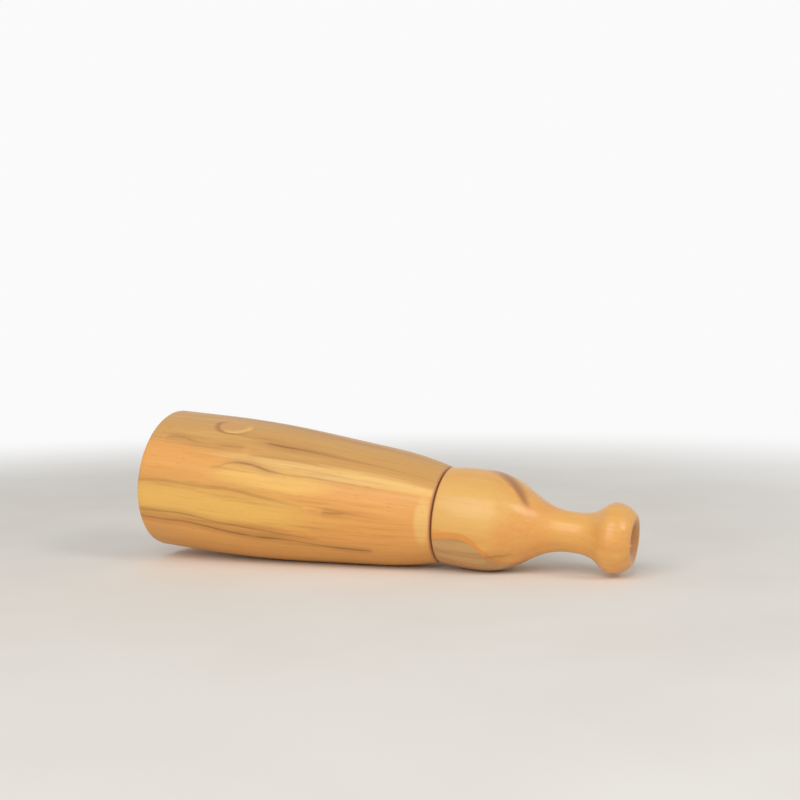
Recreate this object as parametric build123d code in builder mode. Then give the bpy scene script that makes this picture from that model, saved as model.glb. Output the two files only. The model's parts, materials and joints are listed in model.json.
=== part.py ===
"""Turned olive-wood bird call, lying on its side as it rests on a table.

A flared horn and a mouthpiece plug onto the two corked ends of a reed holder.
The holder carries a brass beating reed that stands in the mouthpiece's wind chamber.
Millimetres, +Z up, table at Z = 0. Stations are measured along the call from the bell rim.
"""

import os
from math import asin, atan2, cos, hypot, radians, sin, tan

from build123d import *

# Horn
horn_length = 85.4
bell_r = 19.7
bell_straight = 16.0
barrel_curve = 31.0
barrel_cone = 22.0
barrel_taper_deg = 5.6
horn_end_r = 12.95
bell_wall = 3.9
bore_middle_at = 36.0
bore_middle_r = 12.2
throat_r = 5.0
throat_length = 3.0
horn_socket_depth = 14.0
rim_round = 0.9
end_round = 0.6

# Mouthpiece, with its own stations from the joint
mouthpiece_length = 50.5
mouthpiece_end_r = 12.85
bulge_at = 10.0
bulge_r = 13.4
shoulder_at = 19.2
shoulder_r = 11.4
neck_at = 34.6
neck_r = 5.25
flare_at = 41.4
flare_r = 6.95
knob_at = 45.3
knob_r = 9.1
lip_r = 6.4
lip_wall = 0.9
cup_depth = 7.0
windway_r = 2.5
mouthpiece_socket_depth = 9.0
chamber_r = 6.2
chamber_taper = 6.0

# Corked joints
socket_r = 8.4
cork_thickness = 1.5
collar_length = 1.6
middle_collar = 2.4
collar_relief = 0.25

# Reed
reed_bore_r = 4.0
reed_seat_depth = 11.0
outlet_flare = 2.5
trough_length = 22.5
trough_wall = 0.7
tongue_thickness = 0.2
tongue_width = 6.0
tongue_free = 12.0
tongue_root_length = 8.0
tongue_corner = 1.2
wedge_recess = 1.0
beat_angle_deg = 2.6

# Clearances
joint_gap = 0.4
cork_fit = 0.08
seat_gap = 0.1
glue_gap = 0.03
tip_clearance = 0.8
tongue_gap = 0.04

# Sizes that follow from the driving dimensions
taper = radians(barrel_taper_deg)
cone_start = bell_straight + barrel_curve
cone_end = cone_start + barrel_cone
cone_start_r = bell_r - barrel_curve * tan(taper / 2)
barrel_curve_r = barrel_curve / sin(taper)
cone_end_r = cone_start_r - barrel_cone * tan(taper)
horn_socket_at = horn_length - horn_socket_depth
throat_at = horn_socket_at - throat_length
joint_at = horn_length + joint_gap
call_length = joint_at + mouthpiece_length
mouthpiece_socket_end = joint_at + mouthpiece_socket_depth
holder_start = horn_socket_at + seat_gap
holder_end = mouthpiece_socket_end - seat_gap
joint_middle = horn_length + joint_gap / 2
cork_r = socket_r - cork_fit
collar_r = cork_r - collar_relief
core_r = cork_r - cork_thickness
reed_seat_at = holder_end - reed_seat_depth
trough_r = reed_bore_r - glue_gap
channel_r = trough_r - trough_wall
trough_tip = reed_seat_at + trough_length
clamp_at = holder_end - wedge_recess
chamber_end = trough_tip + tip_clearance
windway_start = chamber_end + chamber_taper
windway_end = call_length - cup_depth

bulge_line = Spline(
    (joint_at + bulge_at, bulge_r),
    (joint_at + shoulder_at, shoulder_r),
    (joint_at + neck_at, neck_r),
    tangents=[(1, 0), (1, 0)],
)


def dip_to(point):
    """Slope of the line that touches the barrel's curve and runs through a point of the outline."""
    along, across = point.X - bell_straight, point.Y - bell_r + barrel_curve_r
    return asin(barrel_curve_r / hypot(along, across)) - atan2(across, along)


# The call lies on its barrel and its bulge, so its axis dips as the line that touches both
dip = min(dip_to(bulge_line @ (step / 1000)) for step in range(400))
axis_dir = Vector(cos(dip), 0, -sin(dip))
up_dir = Vector(sin(dip), 0, cos(dip))
bell_centre = Vector(
    ((bell_r - lip_r) * sin(dip) - call_length * cos(dip)) / 2,
    0,
    bell_straight * sin(dip) + (bell_r - barrel_curve_r) * cos(dip) + barrel_curve_r,
)
turning_axis = Axis(bell_centre, axis_dir)
profile_plane = Plane(bell_centre, x_dir=axis_dir, z_dir=(0, -1, 0))
reed_plane = Plane(bell_centre, x_dir=axis_dir, z_dir=up_dir)


def cross_plane(station):
    """Plane square to the call's axis, with its X sideways and its Y upwards."""
    return Plane(bell_centre + axis_dir * station, x_dir=(0, -1, 0), z_dir=-axis_dir)


# Horn: swelling barrel with a flared bore, an open bell and a socket at its small end
with BuildPart() as horn:
    with BuildSketch(profile_plane) as horn_profile:
        with BuildLine():
            Polyline((0, bell_r - bell_wall), (0, bell_r), (bell_straight, bell_r))
            TangentArc((bell_straight, bell_r), (cone_start, cone_start_r), tangent=(1, 0))
            Line((cone_start, cone_start_r), (cone_end, cone_end_r))
            TangentArc((cone_end, cone_end_r), (horn_length, horn_end_r), tangent=(1, -tan(taper)))
            Polyline(
                (horn_length, horn_end_r),
                (horn_length, socket_r),
                (horn_socket_at, socket_r),
                (horn_socket_at, throat_r),
                (throat_at, throat_r),
            )
            ThreePointArc((throat_at, throat_r), (bore_middle_at, bore_middle_r), (0, bell_r - bell_wall))
        make_face()
        fillet(horn_profile.vertices().group_by(Axis.X)[0], rim_round)
        fillet(horn_profile.vertices().group_by(Axis.X)[-1], end_round)
    revolve(axis=turning_axis)
horn.part.label = "horn"

# Mouthpiece: bulge, slim neck and knob, with a socket, a wind chamber and a cupped blow hole
with BuildPart() as mouthpiece:
    with BuildSketch(profile_plane) as mouthpiece_profile:
        with BuildLine():
            TangentArc(
                (joint_at + bulge_at, bulge_r), (joint_at, mouthpiece_end_r), tangent=(-1, 0)
            )
            add(bulge_line)
            Spline(
                (joint_at + neck_at, neck_r),
                (joint_at + flare_at, flare_r),
                (joint_at + knob_at, knob_r),
                tangents=[(1, 0), (1, 0)],
            )
            TangentArc((joint_at + knob_at, knob_r), (call_length, lip_r), tangent=(1, 0))
            Line((call_length, lip_r), (call_length, lip_r - lip_wall))
            TangentArc((windway_end, windway_r), (call_length, lip_r - lip_wall), tangent=(1, 0))
            Polyline(
                (windway_end, windway_r),
                (windway_start, windway_r),
                (chamber_end, chamber_r),
                (mouthpiece_socket_end, chamber_r),
                (mouthpiece_socket_end, socket_r),
                (joint_at, socket_r),
                (joint_at, mouthpiece_end_r),
            )
        make_face()
        fillet(mouthpiece_profile.vertices().group_by(Axis.X)[0], end_round)
    revolve(axis=turning_axis)
mouthpiece.part.label = "mouthpiece"

# Reed holder: boxwood bobbin with a recess for each cork and a bore for the reed
with BuildPart() as reed_holder:
    with BuildSketch(profile_plane):
        with BuildLine():
            Polyline(
                (holder_start, throat_r),
                (holder_start, collar_r),
                (holder_start + collar_length, collar_r),
                (holder_start + collar_length, core_r),
                (joint_middle - middle_collar / 2, core_r),
                (joint_middle - middle_collar / 2, collar_r),
                (joint_middle + middle_collar / 2, collar_r),
                (joint_middle + middle_collar / 2, core_r),
                (holder_end - collar_length, core_r),
                (holder_end - collar_length, collar_r),
                (holder_end, collar_r),
                (holder_end, reed_bore_r),
                (reed_seat_at, reed_bore_r),
                (reed_seat_at, channel_r),
                (holder_start + outlet_flare, channel_r),
                close=True,
            )
        make_face()
    revolve(axis=turning_axis)
reed_holder.part.label = "reed_holder"

# Horn cork: glued round the holder's long end and pushed into the horn's socket
with BuildPart() as horn_cork:
    with BuildSketch(profile_plane):
        with BuildLine():
            Polyline(
                (holder_start + collar_length + glue_gap, core_r + glue_gap),
                (joint_middle - middle_collar / 2 - glue_gap, core_r + glue_gap),
                (joint_middle - middle_collar / 2 - glue_gap, cork_r),
                (holder_start + collar_length + glue_gap, cork_r),
                close=True,
            )
        make_face()
    revolve(axis=turning_axis)
horn_cork.part.label = "horn_cork"

# Mouthpiece cork: glued round the holder's short end and pushed into the mouthpiece
with BuildPart() as mouthpiece_cork:
    with BuildSketch(profile_plane):
        with BuildLine():
            Polyline(
                (joint_middle + middle_collar / 2 + glue_gap, core_r + glue_gap),
                (holder_end - collar_length - glue_gap, core_r + glue_gap),
                (holder_end - collar_length - glue_gap, cork_r),
                (joint_middle + middle_collar / 2 + glue_gap, cork_r),
                close=True,
            )
        make_face()
    revolve(axis=turning_axis)
mouthpiece_cork.part.label = "mouthpiece_cork"

# Reed trough: half-round brass boat, open towards the horn, its face falling away under the tongue
with BuildPart() as reed_trough:
    with BuildSketch(reed_plane):
        with BuildLine():
            Line((reed_seat_at, channel_r), (reed_seat_at, trough_r))
            Line((reed_seat_at, trough_r), (trough_tip - trough_r, trough_r))
            TangentArc((trough_tip - trough_r, trough_r), (trough_tip, 0), tangent=(1, 0))
            Line((trough_tip, 0), (trough_tip - trough_wall, 0))
            TangentArc(
                (trough_tip - trough_r, channel_r), (trough_tip - trough_wall, 0), tangent=(1, 0)
            )
            Line((trough_tip - trough_r, channel_r), (reed_seat_at, channel_r))
        make_face()
    revolve(axis=turning_axis, revolution_arc=-180)
    with BuildSketch(profile_plane):
        with BuildLine():
            Polyline(
                (clamp_at, 0),
                (trough_tip, 0),
                (trough_tip, -(trough_tip - clamp_at) * tan(radians(beat_angle_deg))),
                close=True,
            )
        make_face()
    extrude(amount=reed_bore_r, both=True, mode=Mode.SUBTRACT)
reed_trough.part.label = "reed_trough"

# Tongue root: the clamped end of the brass strip, flat on the trough
with BuildPart() as tongue_root:
    with BuildSketch(reed_plane):
        with Locations((clamp_at - tongue_root_length / 2, 0)):
            Rectangle(tongue_root_length, tongue_width)
    extrude(amount=tongue_thickness)
tongue_root.part.label = "tongue_root"

# Tongue blade: the free end of the same strip, which beats on the trough
with BuildPart() as tongue_blade:
    with BuildSketch(reed_plane) as blade_outline:
        with Locations((clamp_at + tongue_gap, 0)):
            Rectangle(tongue_free, tongue_width, align=(Align.MIN, Align.CENTER))
        fillet(blade_outline.vertices().group_by(Axis.X)[-1], tongue_corner)
    extrude(amount=tongue_thickness)
tongue_blade.part.label = "tongue_blade"

# Reed wedge: half-round cork that jams the tongue's root and the trough in the holder's bore
with BuildPart() as reed_wedge:
    with BuildSketch(cross_plane(clamp_at)):
        Circle(trough_r)
        with Locations((0, tongue_thickness)):
            Rectangle(2 * reed_bore_r, 2 * reed_bore_r, align=(Align.CENTER, Align.MAX), mode=Mode.SUBTRACT)
    extrude(amount=clamp_at - reed_seat_at - seat_gap)
reed_wedge.part.label = "reed_wedge"

os.makedirs("parts", exist_ok=True)
for piece in (
    horn,
    mouthpiece,
    reed_holder,
    horn_cork,
    mouthpiece_cork,
    reed_trough,
    tongue_root,
    tongue_blade,
    reed_wedge,
):
    export_step(piece.part, f"parts/{piece.part.label}.step")
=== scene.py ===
"""A turned olive-wood bird call on a pale table: its looks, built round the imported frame."""

import json
from math import asin, cos, pi, radians, sin

import bmesh
import bpy
from mathutils import Matrix, Quaternion, Vector
from mathutils.geometry import interpolate_bezier


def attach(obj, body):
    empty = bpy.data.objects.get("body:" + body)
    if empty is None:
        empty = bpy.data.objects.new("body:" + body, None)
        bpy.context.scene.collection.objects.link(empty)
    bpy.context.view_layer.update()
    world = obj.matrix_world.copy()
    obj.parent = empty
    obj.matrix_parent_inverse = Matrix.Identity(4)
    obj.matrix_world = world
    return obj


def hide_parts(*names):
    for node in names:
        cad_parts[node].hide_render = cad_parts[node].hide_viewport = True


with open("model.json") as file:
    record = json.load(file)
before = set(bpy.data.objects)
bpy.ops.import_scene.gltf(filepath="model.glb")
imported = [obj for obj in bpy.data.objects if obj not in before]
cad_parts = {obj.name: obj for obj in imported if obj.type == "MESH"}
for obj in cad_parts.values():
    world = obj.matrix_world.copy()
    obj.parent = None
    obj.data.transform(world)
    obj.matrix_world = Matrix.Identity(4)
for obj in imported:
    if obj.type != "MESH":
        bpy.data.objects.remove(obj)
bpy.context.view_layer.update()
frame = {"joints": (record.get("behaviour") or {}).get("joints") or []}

# Reed trough: a little boat of drawn brass tube, half round, with a closed nose.
# Its face is filed away from the clamp forward, so that the tongue can beat on it.
# Stations are mm along the call's axis from the bell's end, as on a turner's template.
twist = next(joint for joint in frame["joints"] if joint["name"] == "horn_twist")
bell_middle = Vector(twist["pos_m"])
axis_way = Vector(twist["axis"])
axis_dip = asin(-twist["axis"][2])
MM = 0.001
on_table = (
    Matrix.Translation(bell_middle) @ Matrix.Rotation(axis_dip, 4, "Y") @ Matrix.Scale(MM, 4)
)
reed_seat, clamp, boat_nose = 83.7, 93.7, 106.2
boat_outside, boat_inside, nose_wall = 3.97, 3.27, 0.7
beat_slope = radians(2.6)


def smooth_line(knots, steps=12):
    """Points along a turner's template through (station, radius, lean in degrees)."""
    line = []
    for (x0, r0, lean0), (x1, r1, lean1) in zip(knots, knots[1:]):
        start, end = Vector((x0, 0, r0)), Vector((x1, 0, r1))
        reach = (end - start).length * 0.345
        pull0 = Vector((cos(radians(lean0)), 0, sin(radians(lean0)))) * reach
        pull1 = Vector((cos(radians(lean1)), 0, sin(radians(lean1)))) * reach
        line += interpolate_bezier(start, start + pull0, end - pull1, end, steps)[bool(line):]
    return line


def corners(*points):
    """Straight runs of a template, as (station, radius)."""
    return [Vector((x, 0, r)) for x, r in points]


def turn(outline, arc=2 * pi, steps=144):
    """Spins a closed outline about the call's axis and gives the raw turning."""
    turning = bmesh.new()
    ring = [turning.verts.new(point) for point in outline]
    sides = [turning.edges.new(pair) for pair in zip(ring, ring[1:] + ring[:1])]
    bmesh.ops.spin(
        turning,
        geom=ring + sides,
        cent=(0, 0, 0),
        axis=(1, 0, 0),
        angle=arc,
        steps=steps,
        use_merge=arc > 6,
    )
    bmesh.ops.remove_doubles(turning, verts=turning.verts, dist=0.002)
    bmesh.ops.recalc_face_normals(turning, faces=turning.faces)
    return turning


def split(mesh, point, normal, **keep):
    """Cuts a mesh along a plane, drops one side and closes the cut."""
    geom = mesh.verts[:] + mesh.edges[:] + mesh.faces[:]
    bmesh.ops.bisect_plane(mesh, geom=geom, plane_co=point, plane_no=normal, **keep)
    bmesh.ops.holes_fill(mesh, edges=[e for e in mesh.edges if e.is_boundary], sides=0)
    bmesh.ops.recalc_face_normals(mesh, faces=mesh.faces)


def piece(name, mesh, finish, body, node):
    """Sets a finished bmesh on the table as one piece of the call."""
    bmesh.ops.transform(mesh, matrix=on_table, verts=mesh.verts)
    data = bpy.data.meshes.new(name)
    mesh.to_mesh(data)
    mesh.free()
    data.polygons.foreach_set("use_smooth", [True] * len(data.polygons))
    data.set_sharp_from_angle(angle=radians(32))
    made = bpy.data.objects.new(name, data)
    bpy.context.scene.collection.objects.link(made)
    data.materials.append(finish)
    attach(made, body)
    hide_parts(node)


def tone(*shade):
    """A colour as the eye names it, red, green and blue to 255, made linear for the shader."""
    line = [c / 255 / 12.92 if c < 11 else ((c / 255 + 0.055) / 1.055) ** 2.4 for c in shade]
    return (*line, 1)


class Finish:
    """One surface finish, built node by node on the call's own stations."""

    def __init__(self, name):
        self.material = bpy.data.materials.new(name)
        self.material.use_nodes = True
        self.tree = self.material.node_tree
        self.tree.nodes.clear()
        place = self.node("TexCoord").outputs["Object"]
        self.here = self.node(
            "Mapping",
            {"Vector": place, "Location": bell_middle, "Rotation": (0, axis_dip, 0), "Scale": (MM,) * 3},
            vector_type="TEXTURE",
        ).outputs[0]
        self.station, self.side, self.up = self.node("SeparateXYZ", {0: self.here}).outputs

    def node(self, kind, feeds=None, **setup):
        """A shader node with its settings, and each socket linked or set."""
        made = self.tree.nodes.new("ShaderNode" + kind)
        for setting, value in setup.items():
            setattr(made, setting, value)
        for socket, feed in (feeds or {}).items():
            if isinstance(feed, bpy.types.NodeSocket):
                self.tree.links.new(feed, made.inputs[socket])
            else:
                made.inputs[socket].default_value = feed
        return made

    def calc(self, operation, *terms):
        """A sum on plain values."""
        return self.node("Math", dict(enumerate(terms)), operation=operation).outputs[0]

    def rise(self, value, low, high, most=1.0):
        """0 below low, most above high, smooth between; low may be above high."""
        ends = (low, high, 0.0, most) if low < high else (high, low, most, 0.0)
        feeds = {"Value": value} | dict(zip(("From Min", "From Max", "To Min", "To Max"), ends))
        return self.node("MapRange", feeds, interpolation_type="SMOOTHSTEP").outputs[0]

    def speckle(self, where, scale, detail=2.0, rough=0.5, warp=0.0):
        """Noise at a scale, in waves per mm."""
        feeds = {"Vector": where, "Scale": scale, "Detail": detail, "Roughness": rough, "Distortion": warp}
        return self.node("TexNoise", feeds).outputs["Fac"]

    def scaled(self, where, factors):
        """Coordinates drawn out or squeezed along each way."""
        return self.node("VectorMath", {0: where, 1: factors}, operation="MULTIPLY").outputs[0]

    def stretch(self, along, across):
        """The call's coordinates drawn out, in waves per mm along and across the axis."""
        return self.scaled(self.here, (along, across, across))

    def mix(self, share, first, second):
        """The first colour, with a share of the second over it."""
        return self.node("Mix", {0: share, 6: first, 7: second}, data_type="RGBA").outputs[2]

    def stain(self, colour, shade, value, low, high, most=1.0):
        """A shade laid over a colour as a value goes from low to high."""
        return self.mix(self.rise(value, low, high, most), colour, shade)

    def done(self, colour, rough, height=None, depth=0.05, **constant):
        """Closes the finish with its shader; constants go straight on the sockets."""
        feeds = {"Base Color": colour, "Roughness": rough}
        if height is not None:
            bump = {"Strength": 1.0, "Distance": depth * MM, "Height": height}
            feeds["Normal"] = self.node("Bump", bump).outputs[0]
        shader = self.node("BsdfPrincipled", feeds)
        for socket, value in constant.items():
            shader.inputs[socket.replace("_", " ")].default_value = value
        self.node("OutputMaterial", {"Surface": shader.outputs[0]})
        return self.material


boat = turn(
    [
        Vector((point.x, point.z, 0))
        for point in corners((reed_seat, boat_inside), (reed_seat, boat_outside))
        + smooth_line([(boat_nose - boat_outside, boat_outside, 0), (boat_nose, 0, -90)])
        + smooth_line([(boat_nose - nose_wall, 0, 90), (boat_nose - boat_outside, boat_inside, 180)])
    ],
    arc=-pi,
    steps=48,
)
split(boat, (clamp, 0, 0), (sin(beat_slope), 0, cos(beat_slope)), clear_outer=True)

drawn_brass = Finish("drawn_brass")
draw_marks = drawn_brass.speckle(drawn_brass.stretch(0.15, 6.0), 1.0, 3.0)
tarnish = drawn_brass.speckle(drawn_brass.here, 0.35, 4.0, 0.6)
brass_colour = drawn_brass.stain(tone(214, 172, 88), tone(168, 122, 58), tarnish, 0.42, 0.7)
brass_colour = drawn_brass.stain(brass_colour, tone(236, 202, 128), draw_marks, 0.5, 0.8, 0.35)
brass_rough = drawn_brass.calc("MULTIPLY_ADD", draw_marks, 0.25, 0.26)
trough_finish = drawn_brass.done(brass_colour, brass_rough, draw_marks, 0.015, Metallic=1.0)
piece("brass_boat", boat, trough_finish, "reed_holder", "reed_trough")

# Tongue: one strip of bright rolled brass, clamped at its foot and free at its tip.
# The foot lies flat on the boat's rim, and the blade's corners are rounded off with a file.
tongue_width, tongue_thick, rim_round = 6.0, 0.2, 0.03
foot_long, blade_long, blade_start, tip_corner = 8.0, 12.0, clamp + 0.04, 1.2


def soften(mesh, edges, width, segments):
    """Rounds edges of a mesh to a width."""
    bmesh.ops.bevel(
        mesh, geom=edges, offset=width, segments=segments, affect="EDGES", profile=0.5, material=-1
    )


def strip(start, long, tip_round=0.0):
    """A flat length of the brass strip, with its far corners filed round."""
    bar = bmesh.new()
    bmesh.ops.create_cube(bar, size=1)
    bmesh.ops.scale(bar, vec=(long, tongue_width, tongue_thick), verts=bar.verts)
    bmesh.ops.translate(bar, vec=(start + long / 2, 0, tongue_thick / 2), verts=bar.verts)
    if tip_round:
        tip = [e for e in bar.edges if all(v.co.x > start + long - 0.01 for v in e.verts)]
        upright = [e for e in tip if abs(e.verts[0].co.y - e.verts[1].co.y) < 0.01]
        soften(bar, upright, tip_round, 8)
    soften(bar, [e for e in bar.edges if e.calc_face_angle(0) > 1], rim_round, 2)
    return bar


rolled_brass = Finish("rolled_brass")
roll_marks = rolled_brass.speckle(rolled_brass.stretch(0.1, 9.0), 1.0, 3.0)
cloud = rolled_brass.speckle(rolled_brass.here, 0.5, 3.0)
rolled_colour = rolled_brass.stain(tone(232, 192, 104), tone(204, 158, 78), cloud, 0.4, 0.75)
rolled_rough = rolled_brass.calc("MULTIPLY_ADD", roll_marks, 0.2, 0.16)
tongue_finish = rolled_brass.done(rolled_colour, rolled_rough, roll_marks, 0.01, Metallic=1.0)
foot = strip(clamp - foot_long, foot_long)
piece("tongue_foot", foot, tongue_finish, "reed_holder", "tongue_root")
blade = strip(blade_start, blade_long, tip_corner)
piece("tongue_tip", blade, tongue_finish, "tongue", "tongue_blade")

# Reed wedge: half a cork plug, pared with a knife and pushed in over the tongue's foot.
# It jams the tongue and the boat in the holder's bore.
wedge_long, wedge_taper, wedge_round, wedge_gap = 9.9, 0.12, 0.15, 0.01
plug = bmesh.new()
bmesh.ops.create_cone(
    plug,
    cap_ends=True,
    segments=64,
    radius1=boat_outside,
    radius2=boat_outside - wedge_taper,
    depth=wedge_long,
)
bmesh.ops.rotate(plug, matrix=Matrix.Rotation(-pi / 2, 3, "Y"), verts=plug.verts)
bmesh.ops.translate(plug, vec=(clamp - wedge_long / 2, 0, 0), verts=plug.verts)
split(plug, (0, 0, tongue_thick + wedge_gap), (0, 0, 1), clear_inner=True)
soften(plug, [e for e in plug.edges if e.calc_face_angle(0) > 0.6], wedge_round, 2)

cork = Finish("cork")
crumb = cork.node("TexVoronoi", {"Vector": cork.here, "Scale": 1.1, "Randomness": 1.0}).outputs["Distance"]
pith = cork.speckle(cork.here, 0.55, 5.0, 0.65)
flecks = cork.speckle(cork.stretch(1.6, 0.7), 1.0, 4.0, 0.6, 0.4)
cork_colour = cork.stain(tone(205, 160, 112), tone(172, 124, 80), pith, 0.3, 0.72)
cork_colour = cork.stain(cork_colour, tone(104, 66, 40), flecks, 0.6, 0.72, 0.85)
cork_colour = cork.stain(cork_colour, tone(222, 182, 136), crumb, 0.25, 0.05, 0.4)
cork_height = cork.calc("SUBTRACT", crumb, cork.rise(flecks, 0.58, 0.72))
cork_rough = cork.calc("MULTIPLY_ADD", pith, 0.2, 0.7)
cork_finish = cork.done(cork_colour, cork_rough, cork_height, 0.12)
piece("cork_wedge", plug, cork_finish, "reed_holder", "reed_wedge")

# Reed holder: a bobbin turned from boxwood, bored through for the reed.
# Its two recesses take the corks, and the collar between them sits in the joint.
holder_start, holder_end, joint_middle = 71.5, 94.7, 85.6
collar_radius, core_radius, collar_round, bore_round = 8.07, 6.82, 0.3, 0.2
collar_wide, middle_wide, throat_radius, reed_bore, outlet_long = 1.6, 2.4, 5.0, 4.0, 2.5
recess_left = (holder_start + collar_wide, joint_middle - middle_wide / 2)
recess_right = (joint_middle + middle_wide / 2, holder_end - collar_wide)


def ease(turning, width, *places, segments=4):
    """Rounds the circular edges at the given (station, radius)."""
    for station, radius in places:
        edge = [
            e
            for e in turning.edges
            if all(
                abs(v.co.x - station) < 0.01 and abs(v.co.yz.length - radius) < 0.01
                for v in e.verts
            )
        ]
        soften(turning, edge, width, segments)


bobbin = turn(
    corners(
        (holder_start, throat_radius),
        (holder_start, collar_radius),
        (recess_left[0], collar_radius),
        (recess_left[0], core_radius),
        (recess_left[1], core_radius),
        (recess_left[1], collar_radius),
        (recess_right[0], collar_radius),
        (recess_right[0], core_radius),
        (recess_right[1], core_radius),
        (recess_right[1], collar_radius),
        (holder_end, collar_radius),
        (holder_end, reed_bore),
        (reed_seat, reed_bore),
        (reed_seat, boat_inside),
        (holder_start + outlet_long, boat_inside),
    ),
    steps=120,
)
collar_ends = (holder_start, *recess_left, *recess_right, holder_end)
ease(bobbin, collar_round, *((end, collar_radius) for end in collar_ends), segments=3)
ease(bobbin, bore_round, (holder_start, throat_radius), (holder_end, reed_bore), segments=2)

boxwood = Finish("boxwood")
box_fibre = boxwood.speckle(boxwood.stretch(0.12, 2.2), 1.0, 5.0, 0.6)
box_cloud = boxwood.speckle(boxwood.stretch(0.05, 0.25), 1.0, 3.0)
tool_rings = boxwood.node(
    "TexWave",
    {"Vector": boxwood.here, "Scale": 1.7, "Distortion": 0.6, "Detail": 1.0},
    bands_direction="X",
).outputs["Fac"]
box_colour = boxwood.stain(tone(226, 194, 128), tone(212, 172, 104), box_cloud, 0.3, 0.7)
box_colour = boxwood.stain(box_colour, tone(178, 134, 74), box_fibre, 0.5, 0.75, 0.35)
box_height = boxwood.calc("MULTIPLY_ADD", tool_rings, 0.5, box_fibre)
box_rough = boxwood.calc("MULTIPLY_ADD", box_fibre, 0.2, 0.42)
box_finish = boxwood.done(box_colour, box_rough, box_height, 0.03)
piece("boxwood_bobbin", bobbin, box_finish, "reed_holder", "reed_holder")

# Corks: a strip of sheet cork glued round each end of the holder, its ends meeting in a seam.
# They are sanded to a slight crown, waxed, and grip the sockets of horn and mouthpiece.
cork_radius, glue_line, crown, cork_round = 8.32, 0.03, 0.12, 0.25
seam_angle, seam_depth, seam_half = radians(-62), 0.22, radians(1.5)


def cork_ring(left, right):
    """A crowned cork ring between two stations, with the seam where the strip's ends meet."""
    left, right, edge_radius = left + glue_line, right - glue_line, cork_radius - crown
    ring = turn(
        corners((right, core_radius + glue_line), (left, core_radius + glue_line))
        + smooth_line(
            [(left, edge_radius, 20), ((left + right) / 2, cork_radius, 0), (right, edge_radius, -20)], 6
        ),
        steps=180,
    )
    ease(ring, cork_round, (left, edge_radius), (right, edge_radius), segments=3)
    seam_way = Vector((-sin(seam_angle), cos(seam_angle)))
    for vert in ring.verts:
        off_seam = abs(vert.co.yz.angle_signed(seam_way))
        if vert.co.yz.length > core_radius + 0.5 and off_seam < seam_half:
            vert.co.yz *= 1 - seam_depth / cork_radius
    return ring


piece("long_cork", cork_ring(*recess_left), cork_finish, "reed_holder", "horn_cork")
piece("short_cork", cork_ring(*recess_right), cork_finish, "reed_holder", "mouthpiece_cork")

# Horn: the barrel, turned from one billet of olive wood and varnished satin.
# Its bore flares to the open bell, and a socket in the small end takes the long cork.
horn_long, bell_radius, bell_wall, bell_straight = 85.4, 19.7, 3.9, 16.0
cone_start, cone_start_radius, cone_end, cone_end_radius, cone_lean = 47.0, 18.1838, 69.0, 16.0267, -5.6
horn_end_radius, horn_end_lean = 12.95, -15.65
socket_at, socket_radius, throat_at, flare_at, flare_radius = 71.4, 8.4, 68.4, 36.0, 12.2
bell_round, joint_round = 0.9, 0.6
barrel = turn(
    smooth_line(
        [
            (0, bell_radius, 0),
            (bell_straight, bell_radius, 0),
            (cone_start, cone_start_radius, cone_lean),
            (cone_end, cone_end_radius, cone_lean),
            (horn_long, horn_end_radius, horn_end_lean),
        ]
    )
    + corners(
        (horn_long, socket_radius),
        (socket_at, socket_radius),
        (socket_at, throat_radius),
    )
    + smooth_line(
        [
            (throat_at, throat_radius, 165.6),
            (flare_at, flare_radius, 171),
            (0, bell_radius - bell_wall, 177.3),
        ],
        16,
    ),
)
ease(barrel, bell_round, (0, bell_radius), (0, bell_radius - bell_wall))
ease(barrel, joint_round, (horn_long, horn_end_radius), (horn_long, socket_radius))

straw, honey, tan_top_shade = tone(236, 186, 96), tone(230, 172, 88), tone(210, 160, 92)
amber, russet, streak_brown = tone(228, 162, 86), tone(186, 124, 62), tone(146, 96, 50)
pale_strip, knot_pale, groove_brown = tone(236, 194, 118), tone(214, 158, 96), tone(204, 150, 104)


def square_sum(finish, first, second):
    """The sum of two squares."""
    return finish.calc("ADD", finish.calc("POWER", first, 2), finish.calc("POWER", second, 2))


def measure(finish, operation, *vectors):
    """A length, a distance or a dot product of vectors."""
    return finish.node("VectorMath", dict(enumerate(vectors)), operation=operation).outputs["Value"]


def place_round(finish):
    """A point's radius from the call's axis, and its angle from the top towards the front, in degrees."""
    radius = finish.calc("SQRT", square_sum(finish, finish.side, finish.up))
    front = finish.calc("MULTIPLY", finish.side, -1)
    return radius, finish.calc("MULTIPLY", finish.calc("ARCTAN2", front, finish.up), 180 / pi)


def from_spot(finish, angle, spot, reach):
    """How far along and round a spot of the wood lies, as shares of a reach in mm and degrees."""
    along = finish.calc("MULTIPLY_ADD", finish.station, 1 / reach[0], -spot[0] / reach[0])
    return along, finish.calc("MULTIPLY_ADD", angle, 1 / reach[1], -spot[1] / reach[1])


def oval(finish, angle, spot, reach):
    """1 inside a soft oval of the wood."""
    return finish.rise(square_sum(finish, *from_spot(finish, angle, spot, reach)), 1.7, 0.3)


def lay_patches(finish, colour, angle, patches):
    """Lays ovals of other tones, each as (spot, reach, tone, strength)."""
    for spot, reach, shade, strength in patches:
        share = finish.calc("MULTIPLY", oval(finish, angle, spot, reach), strength)
        colour = finish.mix(share, colour, shade)
    return colour


def course(finish, value, points, span, height):
    """A value that follows (place, value) points along a span from low to high."""
    low, high = span
    feed = finish.calc("MULTIPLY_ADD", value, 1 / (high - low), -low / (high - low))
    made = finish.node("FloatCurve", {1: feed})
    line = made.mapping.curves[0].points
    while len(line) < len(points):
        line.new(0.5, 0.5)
    for knot, (x, y) in zip(line, sorted(points)):
        knot.location = ((x - low) / (high - low), y / height)
    made.mapping.update()
    return finish.calc("MULTIPLY", made.outputs[0], height)


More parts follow.
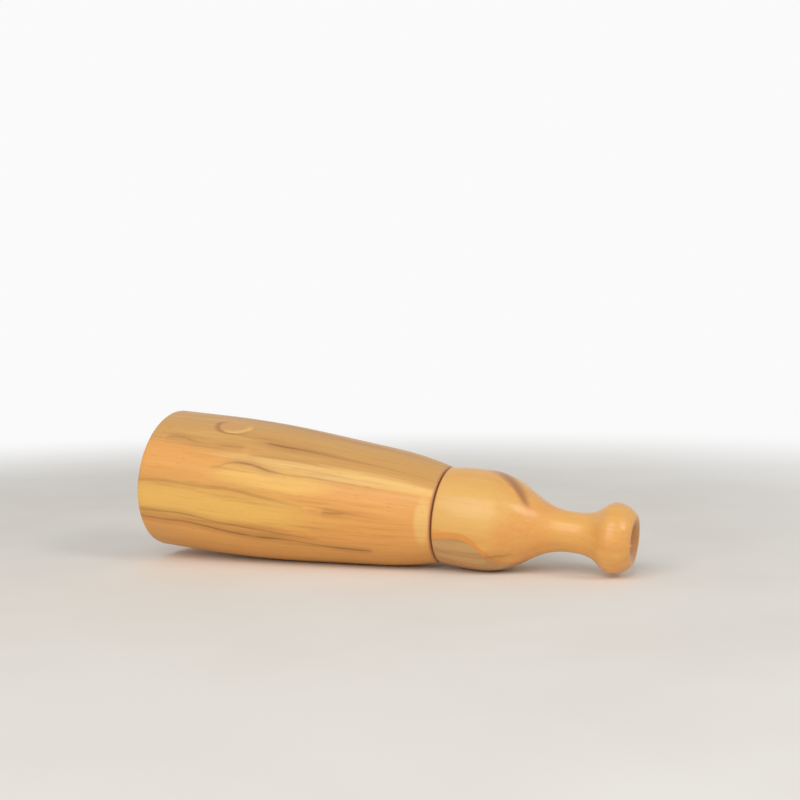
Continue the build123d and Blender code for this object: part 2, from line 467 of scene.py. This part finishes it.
def lay_lines(finish, colour, angle, lines, breaks):
    """Draws growth lines along (station, angle, strength) points, each with its width in degrees.

    A line is broken here and there, and has a soft halo.
    """
    span, half_turn = (0.0, 140.0), 180.0
    for points, width in lines:
        path = [(station, at + half_turn) for station, at, _ in points]
        middle = course(finish, finish.station, path, span, 2 * half_turn)
        strength = course(finish, finish.station, [(s, k) for s, _, k in points], span, 1.0)
        round_from_back = finish.calc("ADD", angle, half_turn)
        off = finish.calc("ABSOLUTE", finish.calc("SUBTRACT", round_from_back, middle))
        core = finish.calc("MULTIPLY", finish.rise(off, width, width * 0.15), breaks)
        halo = finish.rise(off, width * 4.5, 0.0, 0.42)
        share = finish.calc("MULTIPLY", finish.calc("MAXIMUM", core, halo), strength)
        colour = finish.mix(share, colour, streak_brown)
    return colour


olive = Finish("olive_horn")
horn_radius, horn_angle = place_round(olive)
ring_scale = olive.calc("DIVIDE", 18.0, olive.calc("MAXIMUM", horn_radius, 1.0))
meridian = olive.node(
    "CombineXYZ",
    {
        0: olive.calc("MULTIPLY", olive.station, 0.05),
        1: olive.calc("MULTIPLY", olive.side, ring_scale),
        2: olive.calc("MULTIPLY", olive.up, ring_scale),
    },
).outputs[0]
short_meridian = olive.scaled(meridian, (3.6, 1.0, 1.0))
drift = olive.calc("MULTIPLY_ADD", olive.speckle(meridian, 0.5, 3.0, 0.55), 14.0, -7.0)
bent = olive.calc("MULTIPLY_ADD", drift, 0.6, horn_angle)
steady = olive.calc("MULTIPLY_ADD", drift, 0.16, horn_angle)
from_top = olive.calc("ABSOLUTE", bent)
broad = olive.speckle(meridian, 0.24, 3.0, 0.5)
horn_colour = olive.stain(honey, amber, broad, 0.36, 0.64)
# Painted shade: a greyer, darker tan over the top of the barrel, where less light falls.
horn_colour = olive.stain(horn_colour, tan_top_shade, from_top, 60.0, 46.0)
horn_patches = (
    ((6, 67), (20, 17), amber, 0.8),
    # partly pale grain, partly a painted sheen where the key lamp reflects
    ((60, 56.5), (34, 6), pale_strip, 0.85),
    ((41, 71), (17, 10), straw, 0.9),
    ((22, 97), (42, 13), straw, 0.9),
    ((72, 98), (22, 34), amber, 0.75),
    ((45, -96), (42, 16), straw, 0.9),
    ((16, -70), (24, 14), amber, 0.8),
    ((70, -62), (24, 9), pale_strip, 0.8),
    ((60, -128), (40, 12), amber, 0.7),
    # a painted highlight on the rounded end by the joint
    ((83.4, 92), (1.9, 26), pale_strip, 0.75),
)
horn_colour = lay_patches(olive, horn_colour, bent, horn_patches)
# Painted shade: a darker brown towards the underside of the barrel.
horn_colour = olive.stain(horn_colour, tone(212, 152, 76), from_top, 116.0, 140.0, 0.7)

bands = olive.speckle(meridian, 0.62, 4.0, 0.62)
horn_colour = olive.stain(horn_colour, russet, bands, 0.5, 0.74, 0.26)
horn_colour = olive.stain(horn_colour, pale_strip, bands, 0.46, 0.26, 0.3)
threads = olive.speckle(meridian, 1.25, 4.0, 0.6)
horn_colour = olive.stain(horn_colour, russet, threads, 0.52, 0.74, 0.18)
figure = olive.calc("MULTIPLY", oval(olive, bent, (43, 38), (22, 11)), 0.9)
for spot, reach in (
    ((40, 62), (20, 8)),
    ((26, 84), (32, 5)),
    ((30, 114), (46, 9)),
    ((62, 127), (16, 6)),
    ((62, 92), (14, 5)),
    ((16, 46), (16, 5)),
    ((45, -54), (28, 9)),
    ((25, -86), (32, 7)),
    ((50, -114), (32, 9)),
    ((40, 6), (40, 8)),
    ((40, -22), (40, 8)),
):
    figure = olive.calc("MAXIMUM", figure, oval(olive, bent, spot, reach))
streaks = olive.rise(olive.speckle(meridian, 0.9, 5.0, 0.62), 0.5, 0.7, 0.34)
horn_colour = olive.mix(olive.calc("MULTIPLY", streaks, figure), horn_colour, tone(158, 106, 54))

horn_lines = (
    (
        ((30, 38.5, 0), (36, 38.5, 0.4), (41, 39, 0.85), (47, 38.7, 0.7), (60, 39.8, 0.4), (84, 42, 0.15)),
        2.0,
    ),
    (((32, 53, 0), (40, 51.5, 0.35), (48, 50.5, 0.3), (58, 52, 0.15), (64, 52, 0)), 2.2),
    (
        ((5, 46.5, 0), (10, 44.5, 0.5), (15, 47.3, 0.35), (20, 48, 0.2), (26, 47.4, 0.4), (31, 47, 0)),
        1.7,
    ),
    (
        (
            (22, 68, 0), (25, 66, 0.3), (28, 62, 0.4), (34, 61.2, 0.8), (40, 63.8, 0.75),
            (46, 64.6, 0.4), (53, 63.6, 0.4), (70, 64.5, 0.2), (82, 65, 0),
        ),
        1.9,
    ),
    (
        ((0, 85.5, 0.45), (9, 83.5, 0.4), (20, 84.3, 0.4), (29, 83.3, 0.5), (40, 86.5, 0.4), (52, 91, 0)),
        3.0,
    ),
    (((56, 93, 0), (60, 92.4, 0.6), (63, 91.6, 0.4), (70, 92.6, 0.2), (78, 93, 0)), 1.7),
    (
        (
            (0, 110.5, 0.5), (8, 109.6, 0.5), (15, 109, 0.6), (25, 112, 0.45),
            (35, 114.5, 0.55), (46, 117.5, 0.4), (56, 121, 0),
        ),
        1.5,
    ),
    (
        (
            (0, 117, 0.65), (9, 116.8, 0.65), (15, 116, 0.7), (22, 118, 0.8), (30, 121, 0.9),
            (37, 122.6, 1.0), (44, 123, 0.8), (51, 125.2, 0.55), (58, 128, 0.8), (65, 129.4, 0.95),
            (70, 129.5, 0),
        ),
        1.7,
    ),
    (((0, -52, 0.4), (20, -50, 0.5), (45, -54, 0.7), (70, -52, 0.4), (85, -50, 0.1)), 1.8),
    (((0, -84, 0.5), (18, -86, 0.6), (38, -82, 0.4), (60, -78, 0.6), (85, -76, 0.2)), 1.6),
    (((0, -113, 0.3), (30, -110, 0.6), (52, -114, 0.8), (72, -118, 0.3), (85, -119, 0)), 1.7),
    (((0, -141, 0.4), (34, -138, 0.5), (85, -146, 0.3)), 1.9),
    (((10, 6, 0), (30, 4, 0.35), (60, 8, 0.4), (85, 7, 0.1)), 1.9),
    (((0, -24, 0.25), (35, -20, 0.45), (70, -26, 0.35), (85, -25, 0)), 1.9),
)
breaks = olive.rise(olive.speckle(short_meridian, 0.5, 3.0), 0.12, 0.46)
horn_colour = lay_lines(olive, horn_colour, steady, horn_lines, breaks)

knot_along, knot_round = from_spot(olive, bent, (24.0, 23.5), (5.2, 8.5))
knot_far = square_sum(olive, knot_along, knot_round)
knot_rim = olive.calc("MULTIPLY", olive.rise(knot_far, 0.75, 1.05), olive.rise(knot_far, 1.9, 1.15))
low_left = olive.rise(olive.calc("SUBTRACT", knot_round, knot_along), -0.9, 1.2, 0.8)
knot_lip = olive.calc("MULTIPLY", olive.rise(knot_far, 0.2, 0.6), olive.rise(knot_far, 1.1, 0.8))
low_right = olive.rise(olive.calc("ADD", knot_round, knot_along), -0.1, 1.0, 0.7)
horn_colour = olive.stain(horn_colour, knot_pale, knot_far, 1.1, 0.4, 0.7)
horn_colour = olive.mix(olive.calc("MULTIPLY", knot_lip, low_right), horn_colour, pale_strip)
horn_colour = olive.mix(olive.calc("MULTIPLY", knot_rim, low_left), horn_colour, tone(172, 118, 68))

fibre = olive.speckle(meridian, 3.2, 4.0, 0.6)
horn_colour = olive.stain(horn_colour, russet, fibre, 0.52, 0.78, 0.15)
pores = olive.rise(olive.speckle(short_meridian, 1.9, 2.0, 0.5), 0.66, 0.76, 0.25)
horn_colour = olive.mix(pores, horn_colour, streak_brown)

facing = olive.node("TexCoord").outputs["Normal"]
end_on = olive.calc("ABSOLUTE", measure(olive, "DOT_PRODUCT", facing, axis_way))
cross_cut = olive.node("CombineXYZ", {0: olive.side, 1: olive.up}).outputs[0]
tree_heart = (-13.0, 21.0, 0.0)
heart_far = olive.calc("MULTIPLY", measure(olive, "DISTANCE", cross_cut, tree_heart), 3.2)
ring_waver = olive.speckle(olive.stretch(0.02, 0.1), 1.0, 3.0)
end_rings = olive.calc("SINE", olive.calc("MULTIPLY_ADD", ring_waver, 11.0, heart_far))
end_colour = olive.stain(tone(212, 162, 98), tone(178, 126, 74), end_rings, -0.5, 1.0, 0.6)
end_specks = olive.speckle(olive.stretch(0.02, 2.6), 1.0, 2.0)
end_colour = olive.stain(end_colour, tone(158, 108, 62), end_specks, 0.56, 0.7, 0.3)
horn_colour = olive.stain(horn_colour, end_colour, end_on, 0.8, 0.95, 0.8)
# Painted shade: surfaces facing in towards the axis, the walls of the bore, get a darker brown.
up_way = Matrix.Rotation(axis_dip, 3, "Y") @ Vector((0, 0, 1))
lift = olive.calc("MULTIPLY", olive.up, measure(olive, "DOT_PRODUCT", facing, up_way))
sideways = olive.calc("MULTIPLY", olive.side, olive.node("SeparateXYZ", {0: facing}).outputs[1])
outward = olive.calc(
    "DIVIDE", olive.calc("ADD", sideways, lift), olive.calc("MAXIMUM", horn_radius, 1.0)
)
horn_colour = olive.stain(horn_colour, tone(158, 106, 60), outward, -0.1, -0.5, 0.6)
joint_edge = olive.calc(
    "MULTIPLY", olive.rise(olive.station, 84.8, 85.3, 0.9), olive.rise(horn_radius, 10.2, 11.6)
)
horn_colour = olive.mix(joint_edge, horn_colour, groove_brown)

lathe_rings = olive.speckle(olive.stretch(1.1, 0.01), 1.0, 3.0, 0.6)
horn_height = olive.calc("MULTIPLY_ADD", lathe_rings, 0.5, olive.calc("ADD", fibre, threads))
horn_height = olive.calc("SUBTRACT", horn_height, pores)
horn_rough = olive.calc("MULTIPLY_ADD", fibre, 0.2, 0.38)
satin = {"Coat_Weight": 0.12, "Coat_Roughness": 0.25, "Specular_IOR_Level": 0.35}
horn_finish = olive.done(horn_colour, horn_rough, horn_height, 0.035, **satin)
piece("turned_horn", barrel, horn_finish, "horn", "horn")

# Mouthpiece: turned from a second piece of olive wood to a bulge, a slim neck and a knob.
# The knob is cupped for the lips, and the bulge hides the wind chamber and the short cork's socket.
joint_at, mouth_end_radius, call_long = 85.8, 12.85, 136.3
bulge_at, bulge_radius, shoulder_at, shoulder_radius = 95.8, 13.4, 105.0, 11.4
slope_at, slope_radius, neck_at, neck_radius = 113.8, 6.445, 120.4, 5.25
knob_foot_at, knob_foot_radius, knob_at, knob_radius = 127.2, 6.95, 131.1, 9.1
chamber_end, windway_start, windway_end = 107.0, 113.0, 129.3
mouth_socket_end, chamber_radius, windway_radius = 94.8, 6.2, 2.5
lip_radius, lip_wall, lip_round = 6.4, 0.9, 0.3
knob_turning = turn(
    smooth_line(
        [
            (joint_at, mouth_end_radius, 6.3),
            (bulge_at, bulge_radius, 0),
            (shoulder_at, shoulder_radius, -26.15),
            (slope_at, slope_radius, -21.4),
            (neck_at, neck_radius, 0),
            (knob_foot_at, knob_foot_radius, 39.2),
            (knob_at, knob_radius, 0),
            (call_long, lip_radius, -54.9),
        ]
    )
    + smooth_line([(call_long, lip_radius - lip_wall, 258), (windway_end, windway_radius, 180)], 10)
    + corners(
        (windway_start, windway_radius),
        (chamber_end, chamber_radius),
        (mouth_socket_end, chamber_radius),
        (mouth_socket_end, socket_radius),
        (joint_at, socket_radius),
    ),
)
ease(knob_turning, lip_round, (call_long, lip_radius), (call_long, lip_radius - lip_wall), segments=3)
ease(knob_turning, joint_round, (joint_at, mouth_end_radius), (joint_at, socket_radius))

second_olive = Finish("olive_mouthpiece")
mouth_radius, mouth_angle = place_round(second_olive)
flow = second_olive.stretch(0.035, 0.6)
short_flow = second_olive.stretch(0.16, 1.7)
mouth_drift = second_olive.speckle(flow, 0.55, 3.0, 0.55)
mouth_drift = second_olive.calc("MULTIPLY_ADD", mouth_drift, 14.0, -7.0)
mouth_bent = second_olive.calc("MULTIPLY_ADD", mouth_drift, 0.5, mouth_angle)
mouth_broad = second_olive.speckle(flow, 0.5, 3.0, 0.5)
mouth_colour = second_olive.stain(honey, amber, mouth_broad, 0.36, 0.64)
mouth_patches = (
    ((94, 66), (13, 36), tone(228, 179, 98), 0.9),
    ((110, 100), (8, 40), amber, 0.7),
    ((122, 80), (7, 60), honey, 0.6),
    ((94, -70), (14, 34), straw, 0.9),
    ((112, -95), (10, 40), amber, 0.8),
    ((92, 20), (9, 14), honey, 0.8),
)
mouth_colour = lay_patches(second_olive, mouth_colour, mouth_bent, mouth_patches)
mouth_bands = second_olive.speckle(flow, 1.0, 4.0, 0.62)
mouth_colour = second_olive.stain(mouth_colour, russet, mouth_bands, 0.52, 0.74, 0.15)
mouth_colour = second_olive.stain(mouth_colour, pale_strip, mouth_bands, 0.46, 0.26, 0.26)

arch_points = [
    (80, 104), (87, 102), (90, 99.3), (94, 98), (96.7, 102),
    (98.6, 110), (100.4, 119), (103, 130), (108, 152), (116, 178),
]
arch = course(second_olive, second_olive.station, arch_points, (80.0, 140.0), 180.0)
arch_angle = second_olive.calc("MULTIPLY_ADD", mouth_drift, 0.14, mouth_angle)
under_arch = second_olive.calc("SUBTRACT", arch_angle, arch)
mouth_colour = second_olive.stain(mouth_colour, tone(226, 152, 70), under_arch, -0.8, 1.6)
grey_wood = second_olive.stain(tone(204, 160, 102), tone(186, 142, 86), mouth_bands, 0.36, 0.66)
mouth_colour = second_olive.stain(mouth_colour, grey_wood, under_arch, 6.0, 9.5)
# Painted shade: a deeper orange-brown further under the arch, towards the underside of the mouthpiece.
mouth_colour = second_olive.stain(mouth_colour, tone(206, 142, 70), under_arch, 26.0, 56.0, 0.6)

sweep_points = [
    (-180, 92), (-60, 90), (-25, 95), (0, 100.5), (15, 104),
    (22, 105.6), (32, 107.4), (42, 108.7), (60, 110.5), (180, 116),
]
sweep_widths = [
    (-180, 1.0), (-60, 1.6), (-20, 3.4), (10, 3.8), (22, 2.6), (34, 1.6), (46, 1.1), (180, 1.0)
]
full_turn = (-180.0, 180.0)
sweep = course(second_olive, mouth_angle, sweep_points, full_turn, 140.0)
sweep_wide = course(second_olive, mouth_angle, sweep_widths, full_turn, 10.0)
sweep_off = second_olive.calc("ABSOLUTE", second_olive.calc("SUBTRACT", second_olive.station, sweep))
sweep_off = second_olive.calc("DIVIDE", sweep_off, sweep_wide)
sweep_ends = second_olive.calc(
    "MULTIPLY", second_olive.rise(mouth_angle, 54.0, 34.0), second_olive.rise(mouth_angle, -75.0, -40.0)
)
sweep_share = second_olive.calc("MULTIPLY", second_olive.rise(sweep_off, 1.5, 0.0, 0.8), sweep_ends)
mouth_colour = second_olive.mix(sweep_share, mouth_colour, tone(152, 96, 54))
mouth_lines = (
    (((100, 127, 0), (102.5, 126, 0.6), (105, 127, 0.4), (108, 128, 0)), 3.0),
    (((86, -30, 0.2), (96, -34, 0.5), (106, -38, 0.3), (116, -40, 0)), 2.4),
    (((86, -104, 0.5), (96, -100, 0.6), (105, -104, 0.4), (114, -112, 0)), 2.2),
    (((86, -134, 0.5), (98, -130, 0.4), (110, -136, 0)), 2.2),
)
mouth_breaks = second_olive.rise(second_olive.speckle(short_flow, 0.5, 3.0), 0.25, 0.62)
mouth_colour = lay_lines(second_olive, mouth_colour, mouth_bent, mouth_lines, mouth_breaks)
mouth_fibre = second_olive.speckle(flow, 4.0, 4.0, 0.6)
mouth_colour = second_olive.stain(mouth_colour, russet, mouth_fibre, 0.52, 0.78, 0.13)
mouth_pores = second_olive.rise(second_olive.speckle(short_flow, 1.1, 2.0), 0.67, 0.77, 0.2)
mouth_colour = second_olive.mix(mouth_pores, mouth_colour, streak_brown)
# Painted shade: a darker brown inside the cup of the knob and down the windway.
cup_share = second_olive.calc(
    "MULTIPLY",
    second_olive.rise(mouth_radius, 6.0, 5.2, 0.6),
    second_olive.rise(second_olive.station, 128.0, 130.0),
)
mouth_colour = second_olive.mix(cup_share, mouth_colour, tone(170, 116, 70))
mouth_edge = second_olive.calc(
    "MULTIPLY",
    second_olive.rise(second_olive.station, 86.4, 85.9, 0.9),
    second_olive.rise(mouth_radius, 10.2, 11.6),
)
mouth_colour = second_olive.mix(mouth_edge, mouth_colour, groove_brown)
mouth_rings = second_olive.speckle(second_olive.stretch(1.1, 0.01), 1.0, 3.0, 0.6)
mouth_height = second_olive.calc("MULTIPLY_ADD", mouth_rings, 0.5, mouth_fibre)
mouth_height = second_olive.calc("SUBTRACT", mouth_height, mouth_pores)
mouth_rough = second_olive.calc("MULTIPLY_ADD", mouth_fibre, 0.2, 0.34)
handled_gloss = {"Coat_Weight": 0.35, "Coat_Roughness": 0.16, "Specular_IOR_Level": 0.35}
mouth_finish = second_olive.done(mouth_colour, mouth_rough, mouth_height, 0.035, **handled_gloss)
piece("turned_mouthpiece", knob_turning, mouth_finish, "mouthpiece", "mouthpiece")

# Table: a plain pale board under the call, wide enough for its soft shadow.
# Far from the call it fades to white for the camera, and near it keeps the shadow.
paper_white = (0.955, 0.955, 0.955, 1)
table_mesh = bmesh.new()
bmesh.ops.create_grid(table_mesh, x_segments=2, y_segments=2, size=3.0)
table_data = bpy.data.meshes.new("table")
table_mesh.to_mesh(table_data)
table_mesh.free()
table = bpy.data.objects.new("table", table_data)
bpy.context.scene.collection.objects.link(table)
pale = Finish("pale_board")
board_cloud = pale.speckle(pale.here, 0.02)
board_colour = pale.stain(tone(240, 237, 232), tone(244, 242, 238), board_cloud, 0.3, 0.7)
table_data.materials.append(pale.done(board_colour, 0.8))
board = pale.tree.nodes["Principled BSDF"]
far_off = pale.rise(measure(pale, "LENGTH", pale.here), 150.0, 480.0)
sees = pale.calc("MULTIPLY", far_off, pale.node("LightPath").outputs["Is Camera Ray"])
glow = pale.node("Emission", {"Color": paper_white, "Strength": 1.0}).outputs[0]
faded = pale.node("MixShader", {0: sees, 1: board.outputs[0], 2: glow}).outputs[0]
pale.tree.links.new(faded, pale.tree.nodes["Material Output"].inputs["Surface"])

# Light: a large soft key in front and above, a weaker one from the mouthpiece's side,
# and a pale sky that fills the shadows and shows white behind the call.
call_middle = Vector((0, 0, 0.02))
sky = bpy.data.worlds.new("sky")
sky.use_nodes = True
sky_tree = sky.node_tree
sky_tree.nodes.clear()
rays = sky_tree.nodes.new("ShaderNodeLightPath")
seen = rays.outputs["Is Camera Ray"]
for ray in ("Is Glossy Ray", "Is Transmission Ray"):
    either = sky_tree.nodes.new("ShaderNodeMath")
    either.operation = "MAXIMUM"
    sky_tree.links.new(seen, either.inputs[0])
    sky_tree.links.new(rays.outputs[ray], either.inputs[1])
    seen = either.outputs[0]
choose = sky_tree.nodes.new("ShaderNodeMixShader")
sky_tree.links.new(seen, choose.inputs[0])
for socket, colour, strength in ((1, (1.0, 0.98, 0.95, 1), 0.34), (2, paper_white, 1.0)):
    shine = sky_tree.nodes.new("ShaderNodeBackground")
    shine.inputs["Color"].default_value = colour
    shine.inputs["Strength"].default_value = strength
    sky_tree.links.new(shine.outputs[0], choose.inputs[socket])
sky_out = sky_tree.nodes.new("ShaderNodeOutputWorld")
sky_tree.links.new(choose.outputs[0], sky_out.inputs["Surface"])
bpy.context.scene.world = sky


def soft_lamp(name, azimuth, elevation, away, size, power, colour):
    """A square soft box that looks at the middle of the call."""
    a, e = radians(azimuth), radians(elevation)
    back = Vector((sin(a) * cos(e), -cos(a) * cos(e), sin(e)))
    lamp = bpy.data.lights.new(name, "AREA")
    lamp.size, lamp.energy, lamp.color = size, power, colour
    holder = bpy.data.objects.new(name, lamp)
    holder.location = call_middle + back * away
    holder.rotation_mode = "QUATERNION"
    holder.rotation_quaternion = (-back).to_track_quat("-Z", "Y")
    bpy.context.scene.collection.objects.link(holder)


soft_lamp("key", -2, 34, 1.0, 0.8, 6.0, (1.0, 0.97, 0.93))
soft_lamp("side", 72, 34, 0.9, 0.3, 1.7, (1.0, 0.98, 0.96))

# Camera: low in front of the table and to the mouthpiece's side, as the picture was taken,
# held a little askew.
camera_at = Vector((0.12837, -0.30145, 0.06147))
looking = Vector((-0.37820, 0.92439, -0.04967))
askew = radians(-1.158)
lens = bpy.data.cameras.new("camera")
lens.lens, lens.sensor_width = 54.0, 36.0
lens.clip_start, lens.clip_end = 0.01, 20.0
camera = bpy.data.objects.new("camera", lens)
camera.location = camera_at
camera.rotation_mode = "QUATERNION"
camera.rotation_quaternion = looking.to_track_quat("-Z", "Y") @ Quaternion((0, 0, 1), askew)
bpy.context.scene.collection.objects.link(camera)
bpy.context.scene.camera = camera
bpy.context.scene.view_settings.view_transform = "Standard"
